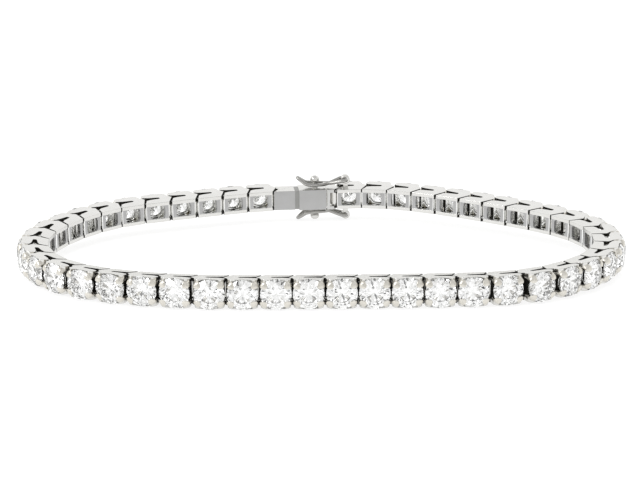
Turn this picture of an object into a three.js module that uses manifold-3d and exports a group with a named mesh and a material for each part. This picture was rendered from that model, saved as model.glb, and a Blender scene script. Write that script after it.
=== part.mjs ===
// Tennis bracelet in white gold: a fastened line of links, each with one round brilliant, and a box
// clasp with two figure-eight safety catches. It stands on its edge as an open oval.
// Millimetres, +Z up. The front of the oval faces -Y and the clasp is at the back.

import * as THREE from 'three';
import { mergeVertices } from 'three/addons/utils/BufferGeometryUtils.js';
import Module from 'manifold-3d';

const wasm = await Module();
wasm.setup();

// The line of links
const LINK_COUNT = 47;
const LINK_PITCH = 3.6; // from one hinge pin to the next
const STRIP_THICKNESS = 3.3; // from the wrist side to the rim under the stones
const STRIP_WIDTH = 3.4; // over the side plates, at the stones
const INNER_WIDTH = 2.6; // over the side plates, at the wrist side
const PLATE_THICKNESS = 0.45;

// The chevron joint between two links, on the side plates
const OUTER_JOINT_GAP = 0.2;
const NOSE_GAP = 0.14;
const INNER_JOINT_GAP = 0.4;
const NOTCH_DEPTH = 0.5; // from the link's end at the rim to the bottom of the notch
const SHOULDER_HEIGHT = 0.6; // from the notch's bottom up to the straight end
const INNER_LEG_REACH = 0.15; // the leg on the wrist side stands past the stone's share by this

// The hinge of each joint
const HINGE_SHIFT = 0.36; // the pin stands this far inside its own link
const HINGE_DEPTH = 0.54; // and this far from mid thickness towards the wrist
const PIN_DIAMETER = 0.6;
const EYE_DIAMETER = 1.2;
const PIN_CLEARANCE = 0.12;
const EYE_SIDE_CLEARANCE = 0.12;

// The frame on the wrist side
const FRAME_THICKNESS = 0.35;
const WINDOW_LENGTH = 2.0;
const BAR_INSET = 0.1; // the bar beside the window stands back from the side plates' end by this

// The stone and its prongs
const STONE_DIAMETER = 3.3;
const CROWN_HEIGHT = 0.5;
const TABLE_SHARE = 0.56; // of the stone's diameter
const PAVILION_DEPTH = 1.42;
const PRONG_WIDTH = 0.55;
const PRONG_RISE = 0.3; // above the stone's edge
const PRONG_SLOPE = 0.12; // the prong's side towards the stone leans back by this

// The clasp
const CLASP_LENGTH = 8.4; // from pin to pin
const CLASP_WIDTH = 2.7;
const TONGUE_BLOCK_END = 1.1; // measured from the pin that holds the last link
const BOX_MOUTH_GAP = 0.1;
const BOX_WALL = 0.4;
const BOX_BAND_START = 4.8;
const BOX_BAND_END = 5.35;
const BOX_STEP = 0.1; // the box is this much slimmer behind its band, and the band this much deeper
const BOX_END_WALL = 0.5;
const TONGUE_THICKNESS = 0.35;
const TONGUE_LENGTH = 4.6;
const TONGUE_SPREAD = 1.3; // over both leaves of the folded tongue, at its open end
const TONGUE_CLEARANCE = 0.2;

// The safety catches
const CATCH_REACH = 6.6; // from the hinge to the tip
const CATCH_WIRE = 0.5;
const CATCH_HEIGHT = 0.9; // from the side plate to the middle of the wire, at the hinge
const CATCH_DIP = 0.55; // the loop lies this much nearer to the box than the hinge
const CATCH_FLARE = 0.9; // the tip rises this much from the loop
const CATCH_FLARE_START = 5.1; // from the hinge to where the rise begins
const CATCH_NECK = 2.5; // from the hinge to the waist of the figure eight
const CATCH_LOOP_WIDTH = 2.3;
const CATCH_HINGE_WIDTH = 2.0;
const CATCH_HINGE_BACK = 1.5; // the catch's hinge stands this far behind the clasp's first pin
const LUG_DIAMETER = 1.16;
const LUG_LENGTH = 0.9;
const LUG_CLEARANCE = 0.08;
const BALL_DIAMETER = 1.0;
const BALL_RISE = 1.15; // from the box's side to the middle of the ball
const BALL_POST_DIAMETER = 0.5;
const BALL_PLACE = 2.6; // measured from the pin that holds the last link

// The route of the pins round the wrist, as the corners of a closed smooth curve. It starts at the
// clasp's left end and runs by the left end, the front and the right end. Its size follows the links.
const ROUTE = [
  [-3.7, 22.3],
  [-21.8, 14.1],
  [-27.8, 11.4],
  [-36.0, -3.3],
  [-30.0, -17.1],
  [-17.4, -20.9],
  [-11.0, -21.8],
  [16.4, -21.0],
  [24.5, -19.9],
  [34.6, -10.0],
  [33.5, 4.3],
  [23.3, 12.6],
  [6.8, 24.4],
  [-6.4, 17.6],
];
const CLASP_MIDDLE = [-0.8, 20.9]; // the route's nearest point is the middle of the straight at the clasp

// Numbers of sides
const WIRE_SIDES = 5;
const EYE_SIDES = 6;
const BALL_SIDES = 10;
const BALL_RINGS = 6;
const LOOP_STEPS = 12;
const STONE_FACETS = 8;
const ROUTE_STEPS = 60; // between two corners of the route

const whiteGold = new THREE.MeshStandardMaterial({ color: 0xc9c9c6, roughness: 0.18, metalness: 1 });
const catchGold = new THREE.MeshStandardMaterial({ color: 0xbdbdb8, roughness: 0.22, metalness: 1 });

// Sizes that follow from the ones above

const innerFace = -STRIP_THICKNESS / 2;
const rim = STRIP_THICKNESS / 2;
const linkEnd = LINK_PITCH / 2 - OUTER_JOINT_GAP / 2;
const notchBottom = linkEnd - NOTCH_DEPTH;
const innerLegEnd = LINK_PITCH / 2 + INNER_LEG_REACH;
const noseTip = notchBottom - LINK_PITCH + NOSE_GAP;
const innerLegStart = innerLegEnd - LINK_PITCH + INNER_JOINT_GAP;
const pinX = -LINK_PITCH / 2 + HINGE_SHIFT;
const eyeX = pinX + LINK_PITCH;
const windowStart = (innerLegStart + innerLegEnd - WINDOW_LENGTH) / 2;
const windowEnd = windowStart + WINDOW_LENGTH;
const hingeY = -HINGE_DEPTH;
const widthTaper = (STRIP_WIDTH - INNER_WIDTH) / 2 / STRIP_THICKNESS;
const eyeRadius = EYE_DIAMETER / 2;
const pinRadius = PIN_DIAMETER / 2;
const wireRadius = CATCH_WIRE / 2;

// Half the strip's width at a height above mid thickness
function halfWidthAt(y) {
  return INNER_WIDTH / 2 + (y - innerFace) * widthTaper;
}

// Solids

function solidFrom(geometry) {
  const bare = geometry.index ? geometry.toNonIndexed() : geometry.clone();
  bare.deleteAttribute('normal');
  bare.deleteAttribute('uv');
  const merged = mergeVertices(bare, 1e-4);
  return new wasm.Manifold(new wasm.Mesh({
    numProp: 3,
    vertProperties: new Float32Array(merged.attributes.position.array),
    triVerts: new Uint32Array(merged.index.array),
  }));
}

function geometryFrom(solid) {
  const mesh = solid.getMesh();
  const geometry = new THREE.BufferGeometry();
  geometry.setAttribute('position', new THREE.BufferAttribute(new Float32Array(mesh.vertProperties), 3));
  geometry.setIndex(new THREE.BufferAttribute(new Uint32Array(mesh.triVerts), 1));
  geometry.computeVertexNormals();
  return geometry;
}

function joined(solids) {
  return solids.reduce((whole, solid) => whole.add(solid));
}

function block(xRange, yRange, zRange) {
  const size = [xRange, yRange, zRange].map(([low, high]) => high - low);
  const middle = [xRange, yRange, zRange].map(([low, high]) => (low + high) / 2);
  const geometry = new THREE.BoxGeometry(...size);
  geometry.translate(...middle);
  return solidFrom(geometry);
}

// A plate with an outline in x and y, from one z to another
function plate(outline, zLow, zHigh) {
  const shape = new THREE.Shape(outline.map(([x, y]) => new THREE.Vector2(x, y)));
  const geometry = new THREE.ExtrudeGeometry(shape, { depth: zHigh - zLow, bevelEnabled: false });
  geometry.translate(0, 0, zLow);
  return solidFrom(geometry);
}

// A straight rod between two points
function rod(from, to, radius, sides) {
  const start = new THREE.Vector3(...from);
  const end = new THREE.Vector3(...to);
  const run = end.clone().sub(start);
  const geometry = new THREE.CylinderGeometry(radius, radius, run.length(), sides);
  const ownAxis = new THREE.Vector3(0, 1, 0);
  geometry.applyQuaternion(new THREE.Quaternion().setFromUnitVectors(ownAxis, run.clone().normalize()));
  const middle = start.add(end).multiplyScalar(0.5);
  geometry.translate(middle.x, middle.y, middle.z);
  return solidFrom(geometry);
}

// The same solid turned over, for what is alike above and below
function turnedOver(geometry) {
  const turned = geometry.clone();
  turned.rotateX(Math.PI);
  return turned;
}

// Parts of a link. Local x runs along the strip from the stone's middle, y away from the wrist and z
// across the strip.

// The plate's corners at the rim rise as the prongs
function sidePlateOutline() {
  const prong = (side) => [
    [side * linkEnd, rim + PRONG_RISE],
    [side * (linkEnd - PRONG_WIDTH + PRONG_SLOPE), rim + PRONG_RISE],
    [side * (linkEnd - PRONG_WIDTH), rim],
  ];
  return [
    ...prong(-1).reverse(),
    [-linkEnd, SHOULDER_HEIGHT],
    [noseTip, 0],
    [innerLegStart, innerFace],
    [innerLegEnd, innerFace],
    [notchBottom, 0],
    [linkEnd, SHOULDER_HEIGHT],
    ...prong(1),
  ];
}

// Both side plates lean in towards the wrist side
function sidePlates() {
  const outline = sidePlateOutline();
  const shape = new THREE.Shape(outline.map(([x, y]) => new THREE.Vector2(x, y)));
  const geometry = new THREE.ExtrudeGeometry(shape, { depth: PLATE_THICKNESS, bevelEnabled: false });
  const position = geometry.attributes.position;
  for (let i = 0; i < position.count; i += 1) {
    position.setZ(i, position.getZ(i) - PLATE_THICKNESS + halfWidthAt(position.getY(i)));
  }
  const upper = solidFrom(geometry);
  geometry.scale(1, 1, -1);
  const lower = solidFrom(mirroredWinding(geometry));
  return upper.add(lower);
}

// A mirrored geometry has its faces turned to point out again
function mirroredWinding(geometry) {
  const flipped = geometry.clone();
  const position = flipped.attributes.position;
  const corner = new THREE.Vector3();
  const other = new THREE.Vector3();
  for (let i = 0; i < position.count; i += 3) {
    corner.fromBufferAttribute(position, i + 1);
    other.fromBufferAttribute(position, i + 2);
    position.setXYZ(i + 1, other.x, other.y, other.z);
    position.setXYZ(i + 2, corner.x, corner.y, corner.z);
  }
  return flipped;
}

// The two bars that close the window between the side plates
function windowBars() {
  const halfWidth = INNER_WIDTH / 2 - PLATE_THICKNESS / 2;
  const bar = (start, stop) => block(
    [start, stop],
    [innerFace, innerFace + FRAME_THICKNESS],
    [-halfWidth, halfWidth],
  );
  return [bar(innerLegStart, windowStart), bar(windowEnd, innerLegEnd - BAR_INSET)];
}

function hingePin() {
  const reach = halfWidthAt(hingeY) - PLATE_THICKNESS / 2;
  return rod([pinX, hingeY, -reach], [pinX, hingeY, reach], pinRadius, WIRE_SIDES);
}

// Half the free height between the side plates at the hinge, less the eye's clearance
function eyeHalfHeight() {
  return halfWidthAt(hingeY - eyeRadius) - PLATE_THICKNESS - EYE_SIDE_CLEARANCE;
}

// The eye round a pin, in one piece with the neck that runs back to a wall or bar. The neck takes
// the place of one of the eye's corners.
function hingeEye(x, neckStart, neckFoot) {
  const corner = (radius, i) => {
    const angle = (i / EYE_SIDES) * 2 * Math.PI - Math.PI;
    return new THREE.Vector2(x + radius * Math.cos(angle), hingeY + radius * Math.sin(angle));
  };
  const sides = [...Array(EYE_SIDES).keys()];
  const outline = sides.slice(1).map((i) => corner(eyeRadius, i));
  outline.push(new THREE.Vector2(neckStart, hingeY + eyeRadius / 2));
  outline.push(new THREE.Vector2(neckStart, neckFoot));
  const shape = new THREE.Shape(outline);
  const holeRadius = (pinRadius + PIN_CLEARANCE) / Math.cos(Math.PI / EYE_SIDES);
  shape.holes.push(new THREE.Path(sides.map((i) => corner(holeRadius, i))));
  const half = eyeHalfHeight();
  const geometry = new THREE.ExtrudeGeometry(shape, { depth: 2 * half, bevelEnabled: false });
  geometry.translate(0, 0, -half);
  return solidFrom(geometry);
}

// A round stone with an eight-sided table, a crown of kites and halves, and a pointed pavilion
function brilliant() {
  const girdleRadius = STONE_DIAMETER / 2;
  const ring = (radius, height, count) => (i) => {
    const angle = (i / count) * 2 * Math.PI;
    return [radius * Math.cos(angle), height, radius * Math.sin(angle)];
  };
  const table = ring(girdleRadius * TABLE_SHARE, rim + CROWN_HEIGHT, STONE_FACETS);
  const girdle = ring(girdleRadius, rim, 2 * STONE_FACETS);
  const culet = [0, rim - PAVILION_DEPTH, 0];
  const faces = [];
  for (let i = 0; i < STONE_FACETS; i += 1) {
    const corner = 2 * i;
    if (i > 0 && i < STONE_FACETS - 1) faces.push([table(0), table(i + 1), table(i)]);
    faces.push([table(i), table(i + 1), girdle(corner + 1)]);
    faces.push([table(i), girdle(corner + 1), girdle(corner)]);
    faces.push([table(i + 1), girdle(corner + 2), girdle(corner + 1)]);
    faces.push([culet, girdle(corner), girdle(corner + 1)]);
    faces.push([culet, girdle(corner + 1), girdle(corner + 2)]);
  }
  const geometry = new THREE.BufferGeometry();
  geometry.setAttribute('position', new THREE.Float32BufferAttribute(faces.flat(2), 3));
  return solidFrom(geometry);
}

function plainLink() {
  const bar = (windowEnd + innerLegEnd) / 2;
  return joined([
    sidePlates(),
    ...windowBars(),
    hingePin(),
    hingeEye(eyeX, bar, innerFace + FRAME_THICKNESS / 2),
    brilliant(),
  ]);
}

// The lug on a side plate, with the hole that the catch's wire turns in
function catchLug(side) {
  const lugX = eyeX - CATCH_HINGE_BACK;
  const plateFace = halfWidthAt(0);
  const lugZ = side * (plateFace + CATCH_HEIGHT);
  const half = LUG_LENGTH / 2;
  const holeRadius = (wireRadius + LUG_CLEARANCE) / Math.cos(Math.PI / EYE_SIDES);
  const tube = rod([lugX, -half, lugZ], [lugX, half, lugZ], LUG_DIAMETER / 2, EYE_SIDES);
  const foot = [plateFace - PLATE_THICKNESS / 2, plateFace + CATCH_HEIGHT - LUG_DIAMETER / 4];
  const footZ = foot.map((z) => side * z);
  const stand = block(
    [lugX - LUG_DIAMETER / 4, lugX + LUG_DIAMETER / 4],
    [-half, half],
    [Math.min(...footZ), Math.max(...footZ)],
  );
  const hole = rod([lugX, -2 * half, lugZ], [lugX, 2 * half, lugZ], holeRadius, EYE_SIDES);
  return tube.add(stand).subtract(hole);
}

function lastLink() {
  return joined([plainLink(), catchLug(1), catchLug(-1)]);
}

// Parts of the clasp. Local x runs from the pin that holds the last link to the pin of the first one.

function tongueOutline() {
  const inner = noseTip - pinX;
  return [
    [inner, 0],
    [innerLegStart - pinX, innerFace],
    [TONGUE_BLOCK_END, innerFace],
    [TONGUE_BLOCK_END, rim],
    [-linkEnd - pinX, rim],
    [-linkEnd - pinX, SHOULDER_HEIGHT],
  ];
}

// The folded spring: a long leaf, a fold at its far end and a leaf that comes back higher
function foldedTongue() {
  const start = TONGUE_BLOCK_END - BOX_WALL;
  const end = TONGUE_BLOCK_END + TONGUE_LENGTH;
  const foot = -TONGUE_SPREAD / 2;
  const head = TONGUE_SPREAD / 2;
  const leafEnd = TONGUE_BLOCK_END + BOX_WALL;
  const half = CLASP_WIDTH / 2 - BOX_WALL - BOX_STEP - TONGUE_CLEARANCE;
  const outline = [
    [start, foot],
    [end, foot],
    [end, foot + 2 * TONGUE_THICKNESS],
    [leafEnd, head],
    [leafEnd, head - TONGUE_THICKNESS],
    [end - TONGUE_THICKNESS, foot + TONGUE_THICKNESS],
    [start, foot + TONGUE_THICKNESS],
  ];
  return plate(outline, -half, half);
}

function claspTongue() {
  const halfWidth = CLASP_WIDTH / 2;
  const wallStart = eyeRadius + PIN_CLEARANCE;
  const freeHalf = eyeHalfHeight() + EYE_SIDE_CLEARANCE;
  const endPiece = plate(tongueOutline(), -halfWidth, halfWidth);
  const slot = block([-STRIP_THICKNESS, wallStart], [2 * innerFace, 2 * rim], [-freeHalf, freeHalf]);
  const pinHalf = halfWidth - BOX_WALL / 2;
  const pin = rod([0, hingeY, -pinHalf], [0, hingeY, pinHalf], pinRadius, WIRE_SIDES);
  return joined([endPiece.subtract(slot), pin, foldedTongue()]);
}

// The box's side view, one part of its length at a time, slimmer all round by an inset
function boxSection(start, end, inset) {
  const half = CLASP_WIDTH / 2 - inset;
  return block([start, end], [innerFace + inset, rim - inset], [-half, half]);
}

// The box's far end has the notch of a link, for the nose of the first link
function boxEnd(start) {
  const shift = CLASP_LENGTH - eyeX;
  const half = CLASP_WIDTH / 2 - BOX_STEP;
  const outline = [
    [start, innerFace + BOX_STEP],
    [innerLegEnd + shift, innerFace + BOX_STEP],
    [notchBottom + shift, 0],
    [linkEnd + shift, SHOULDER_HEIGHT],
    [linkEnd + shift, rim - BOX_STEP],
    [start, rim - BOX_STEP],
  ];
  return plate(outline, -half, half);
}

function ballStud(side) {
  const face = CLASP_WIDTH / 2;
  const ball = new THREE.SphereGeometry(BALL_DIAMETER / 2, BALL_SIDES, BALL_RINGS);
  ball.rotateX(Math.PI / 2);
  ball.translate(BALL_PLACE, 0, side * (face + BALL_RISE));
  const post = rod(
    [BALL_PLACE, 0, side * (face - BOX_WALL / 2)],
    [BALL_PLACE, 0, side * (face + BALL_RISE)],
    BALL_POST_DIAMETER / 2,
    WIRE_SIDES,
  );
  return solidFrom(ball).add(post);
}

function claspBox() {
  const mouth = TONGUE_BLOCK_END + BOX_MOUTH_GAP;
  const shift = CLASP_LENGTH - eyeX;
  const cavityEnd = notchBottom + shift - BOX_END_WALL;
  const walls = joined([
    boxSection(mouth, BOX_BAND_START, 0),
    boxSection(BOX_BAND_START - BOX_STEP, BOX_BAND_END + BOX_STEP, 2 * BOX_STEP),
    boxEnd(BOX_BAND_END),
  ]);
  const cavityHalf = CLASP_WIDTH / 2 - BOX_WALL - BOX_STEP;
  const cavityEdge = BOX_WALL + 2 * BOX_STEP;
  const cavity = block(
    [mouth - BOX_WALL, cavityEnd],
    [innerFace + cavityEdge, rim - cavityEdge],
    [-cavityHalf, cavityHalf],
  );
  const neckStart = CLASP_LENGTH - EYE_DIAMETER;
  return joined([
    walls.subtract(cavity),
    hingeEye(CLASP_LENGTH, neckStart, hingeY - eyeRadius / 2),
    ballStud(1),
    ballStud(-1),
  ]);
}

// The safety catch. Its hinge is at the origin, x runs to the tip and z away from the box. The arms
// lean in to the waist, the loop lies round the ball's post and its tip rises to be lifted by.
function safetyCatch() {
  const hingeHalf = CATCH_HINGE_WIDTH / 2;
  const wire = (from, to) => rod(from, to, wireRadius, WIRE_SIDES);
  const bar = wire([0, -hingeHalf - wireRadius / 2, 0], [0, hingeHalf + wireRadius / 2, 0]);
  const waist = [CATCH_NECK + wireRadius, 0, -CATCH_DIP];
  const arms = [1, -1].map((side) => wire([-wireRadius / 2, side * hingeHalf, 0], waist));
  const loopLength = CATCH_REACH - CATCH_NECK;
  const middleRadius = CATCH_LOOP_WIDTH / 2 - wireRadius;
  const loop = new THREE.TorusGeometry(middleRadius, wireRadius, WIRE_SIDES, LOOP_STEPS);
  loop.scale(loopLength / CATCH_LOOP_WIDTH, 1, 1);
  loop.translate(CATCH_NECK + loopLength / 2, 0, -CATCH_DIP);
  raiseTip(loop);
  return joined([bar, ...arms, solidFrom(loop)]);
}

function raiseTip(loop) {
  const position = loop.attributes.position;
  for (let i = 0; i < position.count; i += 1) {
    const share = (position.getX(i) - CATCH_FLARE_START) / (CATCH_REACH - CATCH_FLARE_START);
    position.setZ(i, position.getZ(i) + Math.max(0, share) * CATCH_FLARE);
  }
}

// The route of the pins

function routePoint(t, scale) {
  const count = ROUTE.length;
  const cell = Math.floor(t);
  const u = t - cell;
  const weights = [
    (1 - u) ** 3,
    3 * u ** 3 - 6 * u ** 2 + 4,
    -3 * u ** 3 + 3 * u ** 2 + 3 * u + 1,
    u ** 3,
  ];
  const point = new THREE.Vector2();
  weights.forEach((weight, k) => {
    const [x, y] = ROUTE[(((cell + k - 1) % count) + count) % count];
    point.add(new THREE.Vector2(x, y).multiplyScalar((weight / 6) * scale));
  });
  return point;
}

// The place on the route, past a start, whose straight distance from a point is the given one
function stepAlong(start, from, distance, direction, scale) {
  let near = start;
  let far = start;
  while (routePoint(far, scale).distanceTo(from) < distance) {
    near = far;
    far += direction / ROUTE_STEPS;
  }
  for (let i = 0; i < ROUTE_STEPS; i += 1) {
    const middle = (near + far) / 2;
    if (routePoint(middle, scale).distanceTo(from) < distance) near = middle;
    else far = middle;
  }
  return (near + far) / 2;
}

function nearestOnRoute(target) {
  const total = ROUTE.length * ROUTE_STEPS;
  const distanceAt = (t) => routePoint(t, 1).distanceTo(target);
  let best = 0;
  for (let i = 0; i < total; i += 1) {
    if (distanceAt(i / ROUTE_STEPS) < distanceAt(best)) best = i / ROUTE_STEPS;
  }
  return best;
}

// The pins of all links for one size of the route, with what is left open before the straight
function pinsAt(scale) {
  const straight = CLASP_LENGTH + LINK_PITCH;
  const middle = nearestOnRoute(new THREE.Vector2(...CLASP_MIDDLE));
  const middlePoint = routePoint(middle, scale);
  const first = stepAlong(middle, middlePoint, straight / 2, 1, scale);
  const last = stepAlong(first, routePoint(first, scale), straight, -1, scale);
  const places = [first];
  for (let i = 1; i < LINK_COUNT; i += 1) {
    const place = places[i - 1];
    places.push(stepAlong(place, routePoint(place, scale), LINK_PITCH, 1, scale));
  }
  const open = last + ROUTE.length - places[LINK_COUNT - 1];
  return { pins: places.map((place) => routePoint(place, scale)), open };
}

// The route's size at which the last of the equal steps ends where the straight begins
function fittedPins() {
  let small = 0.2;
  let large = 4;
  const guess = (LINK_COUNT * LINK_PITCH + CLASP_LENGTH) / routeLength();
  small *= guess;
  large *= guess;
  for (let i = 0; i < ROUTE_STEPS; i += 1) {
    const middle = (small + large) / 2;
    if (pinsAt(middle).open > 0) large = middle;
    else small = middle;
  }
  return pinsAt((small + large) / 2).pins;
}

function routeLength() {
  let length = 0;
  for (let i = 0; i < ROUTE.length * ROUTE_STEPS; i += 1) {
    length += routePoint(i / ROUTE_STEPS, 1).distanceTo(routePoint((i + 1) / ROUTE_STEPS, 1));
  }
  return length;
}

// Puts a piece whose local x runs from one pin towards another, y away from the wrist, at a pin
function placeAlong(mesh, from, to, start) {
  const along = to.clone().sub(from).normalize();
  const outward = new THREE.Vector3(along.y, -along.x, 0);
  const basis = new THREE.Matrix4().makeBasis(
    new THREE.Vector3(along.x, along.y, 0),
    outward,
    new THREE.Vector3(0, 0, -1),
  );
  mesh.quaternion.setFromRotationMatrix(basis);
  mesh.position.set(from.x - along.x * start, from.y - along.y * start, 0);
  mesh.position.addScaledVector(outward, HINGE_DEPTH);
}

function buildBracelet() {
  const pins = fittedPins();
  const strip = new THREE.Group();
  const linkGeometry = geometryFrom(plainLink());
  const lastGeometry = geometryFrom(lastLink());
  const clasp = new THREE.Group();
  const lastPin = pins[LINK_COUNT - 1];
  const along = pins[0].clone().sub(lastPin).normalize();
  const claspPin = lastPin.clone().addScaledVector(along, LINK_PITCH);
  for (let i = 0; i < LINK_COUNT; i += 1) {
    const isLast = i === LINK_COUNT - 1;
    const mesh = new THREE.Mesh(isLast ? lastGeometry : linkGeometry, whiteGold);
    mesh.name = `link_${String(i + 1).padStart(2, '0')}`;
    placeAlong(mesh, pins[i], isLast ? claspPin : pins[i + 1], pinX);
    strip.add(mesh);
  }
  placeAlong(clasp, claspPin, pins[0], 0);
  strip.add(clasp);

  const box = new THREE.Mesh(geometryFrom(claspBox()), whiteGold);
  box.name = 'clasp_box';
  const tongue = new THREE.Mesh(geometryFrom(claspTongue()), whiteGold);
  tongue.name = 'clasp_tongue';
  clasp.add(box, tongue);

  // Local z points down in every piece of the strip, so the catch on that side is the lower one
  const catchGeometry = geometryFrom(safetyCatch());
  const lower = new THREE.Mesh(catchGeometry, catchGold);
  lower.name = 'safety_catch_lower';
  lower.position.set(-CATCH_HINGE_BACK, 0, halfWidthAt(0) + CATCH_HEIGHT);
  const upper = new THREE.Mesh(turnedOver(catchGeometry), catchGold);
  upper.name = 'safety_catch_upper';
  upper.position.set(-CATCH_HINGE_BACK, 0, -halfWidthAt(0) - CATCH_HEIGHT);
  clasp.add(lower, upper);
  return { strip, claspPin };
}

// The bracelet rests on the front links' edges and on the lower ball stud, so its back stands higher
function restOnSurface({ strip, claspPin }) {
  const drop = CLASP_WIDTH / 2 + BALL_RISE + BALL_DIAMETER / 2 - STRIP_WIDTH / 2;
  const flat = new THREE.Box3().setFromObject(strip, true);
  strip.rotation.x = Math.asin(drop / (claspPin.y - flat.min.y));
  const part = new THREE.Group();
  part.add(strip);
  const bounds = new THREE.Box3().setFromObject(part, true);
  const middle = bounds.getCenter(new THREE.Vector3());
  strip.position.set(-middle.x, -middle.y, -bounds.min.z);
  return part;
}

export default restOnSurface(buildBracelet());
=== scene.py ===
import math
import random

import bpy
from mathutils import Matrix, Vector


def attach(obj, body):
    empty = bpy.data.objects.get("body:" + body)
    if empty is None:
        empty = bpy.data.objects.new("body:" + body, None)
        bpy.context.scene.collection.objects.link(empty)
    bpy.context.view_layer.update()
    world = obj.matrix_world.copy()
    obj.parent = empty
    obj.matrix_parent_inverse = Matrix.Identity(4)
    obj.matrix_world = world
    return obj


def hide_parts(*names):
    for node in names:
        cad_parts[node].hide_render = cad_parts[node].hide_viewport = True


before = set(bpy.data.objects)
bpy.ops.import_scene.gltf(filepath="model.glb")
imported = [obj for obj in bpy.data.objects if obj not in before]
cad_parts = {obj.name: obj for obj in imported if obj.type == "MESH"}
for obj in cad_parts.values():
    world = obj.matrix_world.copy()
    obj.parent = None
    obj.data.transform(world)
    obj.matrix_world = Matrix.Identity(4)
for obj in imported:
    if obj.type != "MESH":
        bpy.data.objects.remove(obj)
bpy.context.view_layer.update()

MM = 0.001
CREASE = 50
SEED = 11

# The line of links, as in the solids
LINK_COUNT = 47
LINK_PITCH = 3.6
STRIP_THICKNESS = 3.3
STRIP_WIDTH = 3.4
INNER_WIDTH = 2.6
HINGE_SHIFT = 0.36
HINGE_DEPTH = 0.54
PIN_DIAMETER = 0.6
EYE_DIAMETER = 1.2
CLASP_LENGTH = 8.4
CLASP_WIDTH = 2.7
CATCH_HINGE_BACK = 1.5
CATCH_HEIGHT = 0.9
ROUTE = [
    (-3.7, 22.3),
    (-21.8, 14.1),
    (-27.8, 11.4),
    (-36.0, -3.3),
    (-30.0, -17.1),
    (-17.4, -20.9),
    (-11.0, -21.8),
    (16.4, -21.0),
    (24.5, -19.9),
    (34.6, -10.0),
    (33.5, 4.3),
    (23.3, 12.6),
    (6.8, 24.4),
    (-6.4, 17.6),
]
CLASP_MIDDLE = (-0.8, 20.9)
ROUTE_STEPS = 60
FIT_STEPS = 30
FIT_RANGE = (0.9, 1.1)
REST_TILT = 0.028695
REST_SHIFT = (0.00369, 0.05701, 2.42448)

# The side plates
PLATE_THICKNESS = 0.45
PLATE_RIM = 1.6
RIM_REACH = 0.85
RIM_STEPS = 5
LINK_END = 1.71
SHOULDER_FILLET = 0.3
SHOULDER_HEIGHT = 0.62
NOSE_TIP = -2.2
INNER_LEG_START = -1.25
INNER_LEG_END = 1.95
NOTCH_X = 1.2
HOLE_HALF = 0.5
HOLE_START = 1.14
SLOT_MOUTH = 0.88
SLOT_END = -0.52
SLOT_HALF = (0.22, 0.36)
EDGE_BEVEL = 0.04
CORNER_FILLET = 0.06
CUT_MARGIN = 0.01
CUT_REACH = 0.18
JOINT_INSET = 0.15
ARCH = [  # x, y, fillet of the plate's corners beside the stone
    (1.3, PLATE_RIM, 0.4),
    (1.64, 1.25, 0.3),
]

# The frame on the wrist side
FRAME_THICKNESS = 0.42
FRAME_SINK = 0.015
FRAME_END_GAP = 0.02
FRAME_SIDE_GAP = 0.04
FRAME_END_REACH = 0.25
WINDOW_LENGTH = 2.0
WINDOW_HALF_WIDTH = 0.86
WINDOW_FILLET = 0.42
WINDOW_CORNER_STEPS = 6

# The hinges and the walls across a link's ends
EYE_GAP = 0.12
NECK_START = 1.45
NECK_GAP = 0.05
NECK_INSET = 0.1
SMALL_BEVEL = 0.03
PIN_SIDES = 16
EYE_SEGMENTS = 28
GALLERY_RISE = (-0.1, 1.05)
GALLERY_SIDE_GAP = 0.1
GALLERY_INSIDE = 1.18
GALLERY_MIDDLE = 1.34
GALLERY_OUTSIDE = 1.58

# The stone and what holds it
STONE_RADIUS = 1.735
GIRDLE_LOW = 1.61
GIRDLE_HIGH = 1.65
TABLE_HEIGHT = 2.15
TABLE_SHARE = 0.56
PAVILION_DEPTH = 1.44
STAR_SHARE = 0.52
LOWER_HALF_SHARE = 0.77
FACETS = 8
STONE_TURNS = 6
STONE_LEAN = 1.5
SEAT_CLEARANCE = 0.06
SEAT_RADII = (1.66, 1.6, 1.45, 1.1, 0.85)
COLLET_OUTSIDE = [(0.78, 0.35), (1.0, 0.3), (1.2, 0.42), (1.52, 0.95), (1.66, 1.4)]  # radius, height
COLLET_SQUARENESS = 0.055
COLLET_SEGMENTS = 48
PRONG_SPREAD = 0.03
PRONG_SIDES = 14
PRONG_STEPS = 3
PRONG_LINE = [  # x, height, z, half width and half thickness from the foot to the tip
    (1.34, 0.40, 1.12, 0.28, 0.20),
    (1.38, 1.00, 1.16, 0.36, 0.20),
    (1.42, 1.50, 1.17, 0.41, 0.20),
    (1.41, 1.72, 1.15, 0.43, 0.16),
    (1.31, 1.85, 1.07, 0.42, 0.11),
    (1.17, 1.93, 0.96, 0.34, 0.08),
    (1.03, 1.98, 0.86, 0.20, 0.07),
    (0.97, 1.98, 0.81, 0.05, 0.03),
]
PRONG_LEAST = 0.01
SETTING_VARIANTS = 4

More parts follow.
